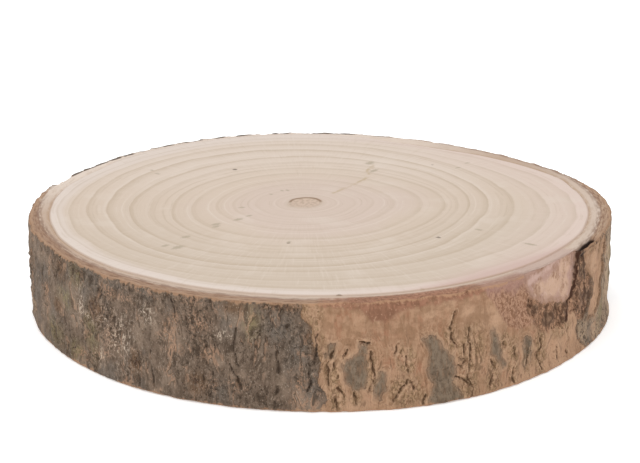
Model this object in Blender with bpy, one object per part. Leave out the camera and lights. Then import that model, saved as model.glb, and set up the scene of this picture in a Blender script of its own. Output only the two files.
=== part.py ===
"""A wood slice: a round saw-cut slice of a trunk with its bark on, grown as one piece.

Metres, +Z up. The origin is the middle of the slice's box, on the surface that it lies on. Angles are
in degrees, anticlockwise from +X as seen from above, so 270 is the front. Depths go down from the top.
"""

import math

import bmesh
import bpy
from mathutils import Matrix, Vector, noise

MM = 0.001

# Driving dimensions
MEAN_RADIUS = 150 * MM
THICKNESS = 54 * MM

# A patch of the side that runs out through a sawn face starts or ends at one of these depths
OVER_TOP = -10 * MM
UNDER_BASE = THICKNESS + 4 * MM

# The outline leaves a circle by waves round it: how many, then their size as shares of the radius, as
# cosine and sine
OUTLINE_WAVES = (
    (2, -0.0020, -0.0339),
    (3, 0.0087, 0.0003),
    (4, 0.0093, 0.0045),
    (5, 0.0006, 0.0022),
    (6, 0.0036, -0.0012),
)

# How wide the bark is on the sawn faces: angle, outer bark, inner bark
BARK_WIDTHS = (
    (0, 4.8 * MM, 6.0 * MM),
    (18, 2.5 * MM, 4.5 * MM),
    (35, 1.5 * MM, 5.5 * MM),
    (60, 2.0 * MM, 9.5 * MM),
    (82, 2.0 * MM, 3.0 * MM),
    (105, 2.8 * MM, 1.6 * MM),
    (150, 3.2 * MM, 3.0 * MM),
    (178, 5.0 * MM, 6.6 * MM),
    (205, 6.0 * MM, 4.4 * MM),
    (235, 4.0 * MM, 3.0 * MM),
    (265, 4.5 * MM, 3.5 * MM),
    (285, 2.5 * MM, 7.0 * MM),
    (310, 2.5 * MM, 6.0 * MM),
    (340, 4.5 * MM, 5.5 * MM),
    (360, 4.8 * MM, 6.0 * MM),
)
CAMBIUM_WIDTH = 1.2 * MM
CAMBIUM_DEPTH = 0.5 * MM

# The bark's relief: furrows that run up and down the trunk, slow swells and crumbs
FURROW_SPACING = 9 * MM
FURROW_LENGTH = 34 * MM
FURROW_DEPTH = 2.6 * MM
RIDGE_LEVEL = 0.28
SWELL_SPACING = 30 * MM
SWELL_HEIGHT = 1.0 * MM
CRUMB_SPACING = 6 * MM
CRUMB_HEIGHT = 1.1 * MM
MEAN_RELIEF = -0.4 * MM

# The bark's edge on the sawn faces: how far it lies under the saw cut, how unevenly, and how round it is
EDGE_DROP = 0.8 * MM
BARK_LINE_DROP = 0.3 * MM
DROP_SPACING = 7 * MM
DROP_LEAST, DROP_MEAN, DROP_SPREAD = 0.2, 0.6, 0.8
EDGE_ROUNDING = 0.9 * MM

# Deep fissures in the bare stretch: angle, first and last depth
FISSURES = (
    (272.0, 25 * MM, 43 * MM),
    (278.6, 26 * MM, 36 * MM),
    (285.6, 24 * MM, 47 * MM),
    (294.0, 9 * MM, 27 * MM),
    (297.6, 20 * MM, UNDER_BASE),
    (306.6, 34 * MM, 52 * MM),
    (314.4, 33 * MM, 51 * MM),
)
FISSURE_WIDTH = 1.6 * MM
FISSURE_FADE = 2.4 * MM
FISSURE_DEPTH = 1.6 * MM

# The bare stretch at the front right, where the grey skin has come off the inner bark
BARE_FROM, BARE_TO = 268, 331
BARE_FADE = 2
BARE_EDGE_SPACING = 12 * MM
BARE_EDGE_REACH = 3.5
SKIN_THICKNESS = 1.1 * MM

# Skin that is still on there: first and last angle, first and last depth
SKIN_REMNANTS = (
    (266.5, 271, 30 * MM, UNDER_BASE),
    (274, 278.5, 26 * MM, 43 * MM),
    (279.3, 281.7, 33 * MM, 48 * MM),
    (288.5, 294, 20 * MM, UNDER_BASE),
    (301, 304.5, 23 * MM, 43 * MM),
    (309, 311.5, 31 * MM, 45 * MM),
    (326, 334, 33 * MM, UNDER_BASE),
)
REMNANT_FADE = 4 * MM

# The notch at the top right, where a plate of bark broke out down to the wood
NOTCH = (310.5, 326, OVER_TOP, 21 * MM)
NOTCH_CUT = 5.5 * MM
NOTCH_FADE = 3 * MM
NOTCH_EDGE_SPACING = 9 * MM
NOTCH_EDGE_REACH = 3 * MM
NOTCH_WOOD_SHARE = 0.6
TORN = (311.5, 326, 21 * MM, 32 * MM)
TORN_CUT = 2.2 * MM

# The chipped edge under the saw cut, left of the notch
CHIP_FROM, CHIP_TO = 272, 302
CHIP_FADE = 2
CHIP_DEPTH = 6 * MM
CHIP_CUT = 2.6 * MM
CHIP_SPACING = 8 * MM
CHIP_SPREAD = 0.8

# Plates that are missing at the back: first and last angle, first and last depth, then how deep
LOST_PLATES = (
    ((90.5, 92.8, OVER_TOP, 20 * MM), 2.2 * MM),
    ((99.6, 102.0, OVER_TOP, 26 * MM), 2.4 * MM),
    ((115.6, 118.2, OVER_TOP, 22 * MM), 2.4 * MM),
    ((127.8, 130.2, OVER_TOP, 30 * MM), 2.4 * MM),
    ((152.4, 159.6, OVER_TOP, 34 * MM), 4.0 * MM),
)
PLATE_FADE = 2.5 * MM

# The pith: a shallow round dent on both faces, off the middle
PITH_AT = (-5.5 * MM, 10 * MM)
PITH_RADIUS = 8 * MM
PITH_DENT = 0.9 * MM
PITH_SEGMENTS = 32
PITH_RINGS = 6

# How finely the surface is cut, and the rings on each sawn face, from the bark's edge to the wood's
COLUMNS = 240
ROWS = 12
EDGE_RING, BARK_LINE_RING, CAMBIUM_RING, WOOD_RING = range(4)
BLANK_RING_WIDTH = 3 * MM
LEAST_RING_WIDTH = 0.5 * MM
SHARP_ANGLE = 35

# Finish
BARK_SLOT, WOOD_SLOT = 0, 1
BARK_COLOUR = (0.19, 0.135, 0.09, 1)
WOOD_COLOUR = (0.70, 0.56, 0.43, 1)
BARK_ROUGHNESS = 0.9
WOOD_ROUGHNESS = 0.7


def clear_scene():
    for found in list(bpy.data.objects):
        bpy.data.objects.remove(found, do_unlink=True)


def new_collection(name):
    made = bpy.data.collections.new(name)
    bpy.context.scene.collection.children.link(made)
    return made


def new_material(name, colour, roughness):
    made = bpy.data.materials.new(name)
    made.use_nodes = True
    shader = made.node_tree.nodes["Principled BSDF"]
    shader.inputs["Base Color"].default_value = colour
    shader.inputs["Roughness"].default_value = roughness
    shader.inputs["Metallic"].default_value = 0
    return made


def smooth_step(value):
    value = min(max(value, 0), 1)
    return value * value * (3 - 2 * value)


def inside(value, first, last, fade):
    """1 between first and last, going smoothly to 0 within fade outside them."""
    return smooth_step((value - first) / fade + 1) * smooth_step((last - value) / fade + 1)


def outline_radius(angle):
    turn = math.radians(angle)
    waves = (c * math.cos(n * turn) + s * math.sin(n * turn) for n, c, s in OUTLINE_WAVES)
    return MEAN_RADIUS * (1 + sum(waves))


def bark_widths(angle):
    """The outer and the inner bark's width at an angle, between the places that BARK_WIDTHS gives."""
    number = max(index for index, place in enumerate(BARK_WIDTHS[:-1]) if place[0] <= angle)
    start, *before = BARK_WIDTHS[number]
    end, *after = BARK_WIDTHS[number + 1]
    share = smooth_step((angle - start) / (end - start))
    return tuple(a + (b - a) * share for a, b in zip(before, after))


def arc(angle_width):
    """The length along the outside of an angle in degrees."""
    return math.radians(angle_width) * MEAN_RADIUS


def patch(angle, depth, place, fade):
    """1 inside a patch given by its angles and depths, 0 a fade outside it."""
    first, last, top, bottom = place
    middle = (first + last) / 2
    across = inside(arc(angle - middle), -arc(last - first) / 2, arc(last - first) / 2, fade)
    return across * inside(depth, top, bottom, fade)


def noise_around(around, depth, spacing):
    """Noise of this spacing at a point beside the trunk's middle and at a depth."""
    return noise.noise(Vector((around.x, around.y, depth)) / spacing)


def wander(angle, depth, size, reach):
    """A slow irregular shift, so that an edge given by angles or depths doesn't run straight."""
    turn = math.radians(angle)
    around = Vector((math.cos(turn), math.sin(turn), 0)) * MEAN_RADIUS
    return reach * noise_around(around, depth, size)


def furrows(angle, depth):
    """How far the bark's furrows and swells move its surface out."""
    turn = math.radians(angle)
    around = Vector((math.cos(turn), math.sin(turn), 0)) * MEAN_RADIUS
    grain = around / FURROW_SPACING
    grain.z = depth / FURROW_LENGTH
    ridge = RIDGE_LEVEL - abs(noise.noise(grain))
    swells = noise_around(around, depth, SWELL_SPACING)
    crumbs = noise_around(around, depth, CRUMB_SPACING)
    return MEAN_RELIEF + FURROW_DEPTH * ridge + SWELL_HEIGHT * swells + CRUMB_HEIGHT * crumbs


def skin_share(angle, depth):
    """1 where the grey skin is on the bark, 0 where it has come off."""
    edge = wander(angle, depth, BARE_EDGE_SPACING, BARE_EDGE_REACH)
    bare = inside(angle + edge, BARE_FROM, BARE_TO, BARE_FADE)
    left = max(patch(angle, depth, place, REMNANT_FADE) for place in SKIN_REMNANTS)
    return 1 - bare * (1 - left)


def notch_share(angle, depth):
    """1 in the notch, where the wood shows."""
    edge = wander(angle, depth, NOTCH_EDGE_SPACING, NOTCH_EDGE_REACH)
    return patch(angle, depth + edge, NOTCH, NOTCH_FADE)


def fissure_share(angle, depth):
    """1 at the bottom of a fissure."""
    half = FISSURE_WIDTH / (2 * arc(1))
    places = ((at - half, at + half, top, low) for at, top, low in FISSURES)
    return max(patch(angle, depth, place, FISSURE_FADE) for place in places)


def chip_share(angle, depth):
    """How much of the chipped edge's cut is taken off here."""
    share = inside(angle, CHIP_FROM, CHIP_TO, CHIP_FADE) * smooth_step(1 - depth / CHIP_DEPTH)
    return share * (1 + wander(angle, depth, CHIP_SPACING, CHIP_SPREAD))


def side_radius(angle, depth):
    """How far from the middle the slice's side lies at an angle and a depth."""
    relief = furrows(angle, depth)
    relief -= SKIN_THICKNESS * (1 - skin_share(angle, depth))
    relief -= FISSURE_DEPTH * fissure_share(angle, depth)
    relief -= CHIP_CUT * chip_share(angle, depth)
    relief -= TORN_CUT * patch(angle, depth, TORN, NOTCH_FADE)
    relief -= max(cut * patch(angle, depth, place, PLATE_FADE) for place, cut in LOST_PLATES)
    notch = notch_share(angle, depth)
    relief = relief * (1 - notch) - NOTCH_CUT * notch
    near_face = min(depth, THICKNESS - depth)
    rounding = EDGE_ROUNDING * (1 - smooth_step(near_face / (2 * EDGE_ROUNDING)))
    return outline_radius(angle) + relief - rounding


def face_ring(angle, face_depth, ring):
    """The radius of a ring on a sawn face, and how far it lies under the saw cut."""
    outer, inner = bark_widths(angle)
    edge = side_radius(angle, face_depth)
    bark_line = outline_radius(angle) - outer
    cambium = bark_line - inner
    radius = (edge, bark_line, cambium, cambium - CAMBIUM_WIDTH)[ring]
    uneven = max(DROP_LEAST, DROP_MEAN + wander(angle, face_depth, DROP_SPACING, DROP_SPREAD))
    drop = (EDGE_DROP * uneven, BARK_LINE_DROP * uneven, CAMBIUM_DEPTH, 0)[ring]
    return min(radius, edge - ring * LEAST_RING_WIDTH), drop


def make_blank():
    """A plain cylinder with rows cut round its side and rings set into its faces, and each point's ring."""
    mesh = bmesh.new()
    bmesh.ops.create_cone(
        mesh, cap_ends=True, segments=COLUMNS, radius1=MEAN_RADIUS, radius2=MEAN_RADIUS, depth=THICKNESS
    )
    bmesh.ops.translate(mesh, verts=mesh.verts, vec=(0, 0, THICKNESS / 2))
    lowest = 2 * EDGE_ROUNDING
    for row in range(ROWS - 1):
        height = lowest + (THICKNESS - 2 * lowest) * row / (ROWS - 2)
        everything = mesh.verts[:] + mesh.edges[:] + mesh.faces[:]
        bmesh.ops.bisect_plane(mesh, geom=everything, plane_co=(0, 0, height), plane_no=(0, 0, 1))
    rings = {vert: EDGE_RING for vert in mesh.verts}
    for ring in (BARK_LINE_RING, CAMBIUM_RING, WOOD_RING):
        caps = [face for face in mesh.faces if len(face.verts) == COLUMNS]
        bmesh.ops.inset_individual(mesh, faces=caps, thickness=BLANK_RING_WIDTH)
        for vert in mesh.verts:
            rings.setdefault(vert, ring)
    return mesh, rings


def shape(mesh, rings):
    """Moves each point of the blank to its place on the slice."""
    for vert, ring in rings.items():
        angle = math.degrees(math.atan2(vert.co.y, vert.co.x)) % 360
        depth = THICKNESS - vert.co.z
        on_top = depth < EDGE_ROUNDING
        if on_top or vert.co.z < EDGE_ROUNDING:
            radius, drop = face_ring(angle, 0 if on_top else THICKNESS, ring)
            height = THICKNESS - drop if on_top else drop
        else:
            radius, height = side_radius(angle, depth), vert.co.z
        turn = math.radians(angle)
        vert.co = (radius * math.cos(turn), radius * math.sin(turn), height)


def paint(mesh, rings):
    """Gives each face its material slot: wood inside the cambium and in the notch, bark elsewhere."""
    for face in mesh.faces:
        middle = face.calc_center_median()
        angle = math.degrees(math.atan2(middle.y, middle.x)) % 360
        sawn_wood = min(rings[vert] for vert in face.verts) >= CAMBIUM_RING
        in_notch = notch_share(angle, THICKNESS - middle.z) > NOTCH_WOOD_SHARE
        face.material_index = WOOD_SLOT if sawn_wood or in_notch else BARK_SLOT
        face.smooth = True


def centre_on_origin(mesh):
    """Puts the middle of the box over the origin, and gives how far everything moved."""
    shift = Vector((0, 0, 0))
    for axis in (0, 1):
        low = min(vert.co[axis] for vert in mesh.verts)
        high = max(vert.co[axis] for vert in mesh.verts)
        shift[axis] = -(low + high) / 2
    bmesh.ops.translate(mesh, verts=mesh.verts, vec=shift)
    return shift


def add_slice(collection, materials):
    mesh, rings = make_blank()
    shape(mesh, rings)
    paint(mesh, rings)
    shift = centre_on_origin(mesh)
    data = bpy.data.meshes.new("wood_slice")
    mesh.to_mesh(data)
    mesh.free()
    for material in materials:
        data.materials.append(material)
    data.set_sharp_from_angle(angle=math.radians(SHARP_ANGLE))
    made = bpy.data.objects.new("wood_slice", data)
    collection.objects.link(made)
    return made, shift


def cut_pith(slice_object, shift, height, collection, material):
    """Dents a face at the pith, by a flattened ball whose middle lies on the face."""
    bpy.ops.mesh.primitive_uv_sphere_add(segments=PITH_SEGMENTS, ring_count=PITH_RINGS, radius=1)
    cutter = bpy.context.object
    cutter.name = f"pith_cutter_{round(height / MM)}"
    cutter.data.transform(Matrix.Diagonal((PITH_RADIUS, PITH_RADIUS, PITH_DENT, 1)))
    cutter.data.materials.append(material)
    cutter.location = Vector((*PITH_AT, height)) + shift
    for holder in list(cutter.users_collection):
        holder.objects.unlink(cutter)
    collection.objects.link(cutter)
    cutter.display_type = "WIRE"
    cutter.hide_render = True
    cut = slice_object.modifiers.new(cutter.name, "BOOLEAN")
    cut.operation = "DIFFERENCE"
    cut.object = cutter


def main():
    clear_scene()
    parts = new_collection("wood slice")
    cutters = new_collection("cutters")
    bark = new_material("bark", BARK_COLOUR, BARK_ROUGHNESS)
    wood = new_material("wood", WOOD_COLOUR, WOOD_ROUGHNESS)
    slice_object, shift = add_slice(parts, (bark, wood))
    for height in (0, THICKNESS):
        cut_pith(slice_object, shift, height, cutters, wood)


main()
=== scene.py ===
"""The looks of the wood slice: weathered bark round pale sawn wood.

Metres, +Z up. Angles are in degrees, anticlockwise from +X as seen from above, so 270 is the front. Depths
go down from the top. Everything is placed from the trunk's middle, and the camera with it, and then all of
it moves so that the middle of the slice's box is over the origin, as in the CAD model.
"""

import math
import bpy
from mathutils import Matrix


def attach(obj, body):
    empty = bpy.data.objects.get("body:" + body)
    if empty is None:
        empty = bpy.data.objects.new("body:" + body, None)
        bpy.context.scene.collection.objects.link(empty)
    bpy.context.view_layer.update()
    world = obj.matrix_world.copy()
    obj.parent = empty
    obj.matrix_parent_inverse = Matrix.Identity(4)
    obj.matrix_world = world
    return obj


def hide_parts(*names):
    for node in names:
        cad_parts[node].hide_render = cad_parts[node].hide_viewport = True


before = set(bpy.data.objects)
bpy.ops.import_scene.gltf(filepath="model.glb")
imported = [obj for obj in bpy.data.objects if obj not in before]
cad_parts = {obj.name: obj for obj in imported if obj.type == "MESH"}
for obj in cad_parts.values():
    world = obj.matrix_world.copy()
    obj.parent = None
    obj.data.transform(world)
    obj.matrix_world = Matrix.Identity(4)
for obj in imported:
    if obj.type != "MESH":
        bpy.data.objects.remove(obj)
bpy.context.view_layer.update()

from types import SimpleNamespace

import bpy
import numpy as np
from mathutils import Matrix, Vector, noise

MM = 0.001

# The slice's sizes, the same as in the CAD model
MEAN_RADIUS = 150 * MM
THICKNESS = 54 * MM

# The outline leaves a circle by waves round it: how many, then their size as shares of the radius, as
# cosine and sine
OUTLINE_WAVES = (
    (2, -0.0020, -0.0339),
    (3, 0.0087, 0.0003),
    (4, 0.0093, 0.0045),
    (5, 0.0006, 0.0022),
    (6, 0.0036, -0.0012),
)

# How wide the bark is on the sawn faces: angle, outer bark in mm, inner bark in mm
BARK_WIDTHS = (
    (0, 6.2, 6.0), (10, 4.6, 6.5), (20, 1.8, 6.2), (32, 1.4, 7.0), (42, 1.4, 7.9), (60, 1.6, 10.6),
    (70, 2.0, 9.6), (80, 1.8, 5.0), (90, 2.2, 2.6), (115, 2.6, 2.6), (135, 2.4, 2.6), (148, 2.0, 6.6),
    (160, 1.4, 7.6), (168, 3.4, 6.8), (176, 5.0, 6.2), (190, 6.2, 4.8), (200, 6.0, 3.8), (212, 4.8, 4.6),
    (222, 5.0, 4.7), (235, 6.0, 5.6), (262, 6.2, 5.8), (280, 6.2, 6.4), (300, 5.6, 7.0), (320, 3.5, 7.5),
    (338, 4.6, 6.4), (348, 6.4, 5.8), (360, 6.2, 6.0),
)
# How pale the sawn bark is round the trunk: angle, share
RIM_PALENESS = (
    (0, 0.6), (20, 0.4), (40, 0.1), (60, 0.7), (80, 1.0), (160, 1.0), (170, 0.6), (180, 0.2), (205, 0.1),
    (225, 0.3), (262, 0.4), (300, 0.45), (335, 0.55), (348, 0.5), (360, 0.6),
)

# The bark's main relief, as in the CAD model
FURROW_SPACING, FURROW_LENGTH, FURROW_DEPTH = 9 * MM, 34 * MM, 2.6 * MM
RIDGE_LEVEL = 0.28
SWELL_SPACING, SWELL_HEIGHT = 30 * MM, 1.0 * MM
CRUMB_SPACING, CRUMB_HEIGHT = 6 * MM, 1.1 * MM
MEAN_RELIEF = -0.4 * MM
# How far apart the layers of noise lie, so that no two are alike
NOISE_LAYER_STEP = 31.7

# The grey skin's fine relief: short upright ridges, crumbs and pits, strongest where it is most weathered
GRAIN_SPACING, GRAIN_LENGTH, GRAIN_DEPTH = 3.0 * MM, 9 * MM, 1.3 * MM
GRAIN_LEVEL = 0.2
GRIT_SPACING, GRIT_HEIGHT = 2.0 * MM, 0.8 * MM
PIT_SPACING, PIT_LENGTH, PIT_DEPTH = 2.6 * MM, 5.5 * MM, 0.6 * MM
PIT_FROM, PIT_FULL = 0.25, 0.5
WEATHERED_SPACING = 17 * MM
WEATHERED_LEAST, WEATHERED_MOST = 0.3, 1.1
WEATHERED_FROM, WEATHERED_FULL = -0.3, 0.35

# The bare inner bark's relief: long soft flow lines, which bend by this many degrees
FLOW_SPACING, FLOW_LENGTH, FLOW_HEIGHT = 4 * MM, 20 * MM, 0.45 * MM
FLOW_BEND = 2.2

# Places on the side are given as (angle, depth in mm). The stretch where the grey skin has come off:
BARE = (
    (267.4, -10), (267.2, 8), (268.8, 11), (269.0, 20), (270.4, 28), (270.0, 40), (271.5, 47), (270.0, 54),
    (270.0, 64), (333, 64), (332.2, 54), (330.2, 50), (328.8, 45), (328.3, 38), (326.9, 30), (326.5, -10),
)
# Thin skin that is still on there
REMNANTS = (
    (
        (274.2, 30), (275.6, 27), (277.2, 25), (277.4, 20), (278.6, 20), (278.6, 31), (278.2, 43),
        (276.6, 44), (274.4, 39),
    ),
    ((271.5, 27), (272.0, 20), (272.9, 20), (272.6, 27)),
    ((279.9, 40), (281.0, 34.5), (282.0, 34), (281.9, 43), (281.0, 49), (280.0, 48)),
    (
        (288.7, 19.5), (291.2, 20), (292.6, 26.5), (294.0, 30), (294.9, 37), (294.5, 45), (296.2, 53),
        (296.2, 64), (289.8, 64), (289.8, 50), (290.6, 44), (289.2, 37), (289.5, 28),
    ),
    ((302.2, 22), (303.2, 22), (304.2, 31), (306.0, 42), (305.0, 43), (303.2, 36), (302.0, 34)),
    ((310.4, 31), (311.4, 31), (312.6, 34), (312.2, 45), (311.2, 48), (310.6, 44)),
)
# A bare upright plate right of the notch
BARE_PLATE = (
    (330.3, 1.5), (343, 2), (342.8, 10), (342, 18), (340.6, 27), (338.8, 36), (337, 41), (333.2, 39),
    (333.4, 34), (335.8, 28), (336.2, 23), (334.4, 18), (332.6, 14.5), (331, 8),
)
SKIN_THICKNESS, REMNANT_THICKNESS = 1.1 * MM, 0.5 * MM
SKIN_EDGE, REMNANT_EDGE = 0.9 * MM, 2.4 * MM
REMNANT_RELIEF = 0.35
LIP_AT, LIP_WIDTH, LIP_HEIGHT = 1.1 * MM, 0.7 * MM, 0.4 * MM

# Fissures: first those in the bare stretch, then the cracks in the grey skin
FISSURES = (
    ((272.6, 24), (271.6, 31), (272.0, 41)),
    ((272.8, 30), (273.2, 36)),
    ((275.0, 23.5), (274.4, 28)),
    ((279.3, 24), (279.5, 31), (280.0, 38), (279.0, 44)),
    ((273.2, 42), (274.3, 47)),
    ((272.9, 46), (273.3, 53)),
    ((276.4, 45), (276.6, 50)),
    ((284.2, 21), (283.5, 26)),
    ((285.6, 28), (286.0, 38), (285.2, 42), (284.3, 46), (283.0, 51)),
    ((286.1, 39), (287.0, 45)),
    ((289.0, 48), (288.6, 54)),
    ((277.4, 19), (279.0, 20)),
    ((294.8, 9), (294.0, 17), (293.9, 22), (295.3, 27.5)),
    ((298.0, 19), (297.4, 25), (298.2, 31), (297.8, 38), (297.4, 44), (298.8, 50), (298.0, 55)),
    ((296.6, 26), (297.0, 31)),
    ((295.8, 33), (296.8, 34.5), (296.2, 37.5), (295.4, 36)),
    ((294.8, 42), (296.6, 43.5), (297.6, 48)),
    ((302.2, 37), (303.2, 42), (302.4, 49), (300.8, 55)),
    ((307.6, 34), (308.4, 38), (307.6, 47), (307.6, 55)),
    ((305.4, 30), (306.0, 34)),
    ((311.6, 38), (311.8, 50)),
    ((314.8, 32), (315.6, 38), (314.6, 44), (315.8, 52)),
    ((317.2, 42), (317.8, 50)),
    ((324.4, 38), (324.8, 50)),
    ((320.6, 44), (320.9, 52)),
    ((335.0, 0), (336.4, 4)),
    ((339.3, 2.5), (339.6, 8.5)),
)
SKIN_CRACKS = (
    ((237, 32), (236.6, 40), (237.2, 50)),
    ((241.4, 0), (242.4, 5), (242.8, 12), (242, 16)),
    ((255, 14), (254.4, 24), (255.4, 32)),
    ((253.4, 30), (255, 38), (255.6, 43)),
    ((250.6, 37), (249.6, 50)),
    ((262.6, 24), (262.8, 35)),
    ((262.6, 42), (262, 52)),
    ((268.2, 30), (268.6, 38), (268, 44)),
    ((270, 15), (269.6, 26)),
    ((209, 1), (208.6, 6), (206.6, 11)),
    ((199, 13), (197.6, 20)),
    ((186, 12), (187, 24)),
    ((172, 20), (172.6, 34)),
    ((150, 8), (149, 26)),
    ((121, 22), (122, 44)),
    ((84, 6), (85, 30)),
    ((47, 18), (46, 44)),
    ((20, 4), (21, 26)),
    ((350, 10), (349.4, 34)),
)
FISSURE_WIDTH, FISSURE_DEPTH = 0.6 * MM, 1.5 * MM
FISSURE_LIP_AT, FISSURE_LIP_WIDTH, FISSURE_LIP_HEIGHT = 1.5 * MM, 0.7 * MM, 0.4 * MM
FISSURE_NARROWING_SPACING, FISSURE_NARROWING = 5 * MM, 0.9 * MM
CRACK_DEPTH = 1.3 * MM

# The notch at the top right, where a plate broke out down to the innermost bark, and its torn border
NOTCH = (
    (310.4, -10), (310.8, 2), (311.6, 8), (312.6, 12), (314.1, 15), (316.3, 18), (319.4, 19.5), (322, 22),
    (323.8, 22.8), (325.8, 21.5), (326.6, 17), (327.6, 10), (328.1, 3), (328.6, -1), (328.8, -10),
)
NOTCH_CUT, NOTCH_CUT_BELOW, NOTCH_LOW = 3.4 * MM, 2.6 * MM, 20 * MM
NOTCH_SWELL_HEIGHT = 0.225 * MM
NOTCH_EDGE = 2.2 * MM
TORN = (
    (311.8, 11), (314.1, 15), (316.3, 18), (319.4, 19.5), (322, 22), (325.1, 22), (327, 10), (327.6, -2),
    (331.2, -2), (330.8, 7), (332.4, 14), (334.2, 19), (335.6, 24), (335, 29), (332.8, 34), (330.6, 38),
    (328, 36), (326.8, 31), (324.6, 29.5), (323.8, 34), (321.6, 34), (317.4, 33.5), (314.6, 30),
    (313.4, 26), (312, 22),
)
TORN_CUT, TORN_ROUGHNESS = 1.2 * MM, 1.1 * MM
TORN_SPACING, TORN_LENGTH = 2 * MM, 3 * MM
# The grit of the bay and of the chipped band
CRUMBLY_HEIGHT = 0.56 * MM
# The dark line along which the plate broke out
BREAK = (
    (330, -4), (328.8, -1), (328.2, 3), (327.7, 10), (326.9, 16), (325.9, 21), (324.5, 25), (324.3, 29),
    (323.9, 33),
)
# A pale band where the sawn face rolls over into the notch
NOTCH_BAND = ((312.6, 4.6), (314.5, 3.5), (318.5, 1), (323.5, -3))

# The crumbly bay of inner bark left of the notch, and the chipped band under the saw cut left of that
BAY = (
    (299.5, -10), (301.2, 4), (303.5, 12), (305.0, 19), (307.6, 25), (310.8, 27.5), (313.4, 26),
    (314.6, 18), (312.6, 11), (311.4, 2), (310.4, -10),
)
BAY_CUT = 1.0 * MM
CHIPPED = (
    (269.5, -10), (270, 1), (275, 3), (278.2, 4), (278.7, 8.6), (281, 10), (283.4, 8.6), (284, 4.8),
    (288, 4.4), (293.5, 3.6), (297, 3), (302, 1.5), (306, 0.5), (306, -10),
)
CHIP_DEPTH, CHIP_CUT = 6 * MM, 2.6 * MM
CHIP_SPACING, CHIP_SPREAD = 3.5 * MM, 0.5

# The patches by the names of their marks
PATCHES = {"plate": BARE_PLATE, "notch": NOTCH, "torn": TORN, "bay": BAY, "chipped": CHIPPED}

# The edges of all these wander a little
WANDER_SPACING, WANDER_REACH = 4 * MM, 0.9 * MM
FRET_SPACING, FRET_REACH = 1.9 * MM, 0.45 * MM

# Plates that are missing at the back: first and last angle, last depth in mm, and how deep they were in mm
LOST_PLATES = (
    (90.5, 92.8, 20, 2.2),
    (99.6, 102.0, 26, 2.4),
    (107.2, 108.6, 14, 2.0),
    (115.6, 118.2, 22, 2.4),
    (127.8, 130.2, 30, 2.4),
    (144.2, 145.8, 18, 2.0),
    (152.4, 159.6, 34, 4.0),
)
PLATE_EDGE = 1.2 * MM

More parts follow.
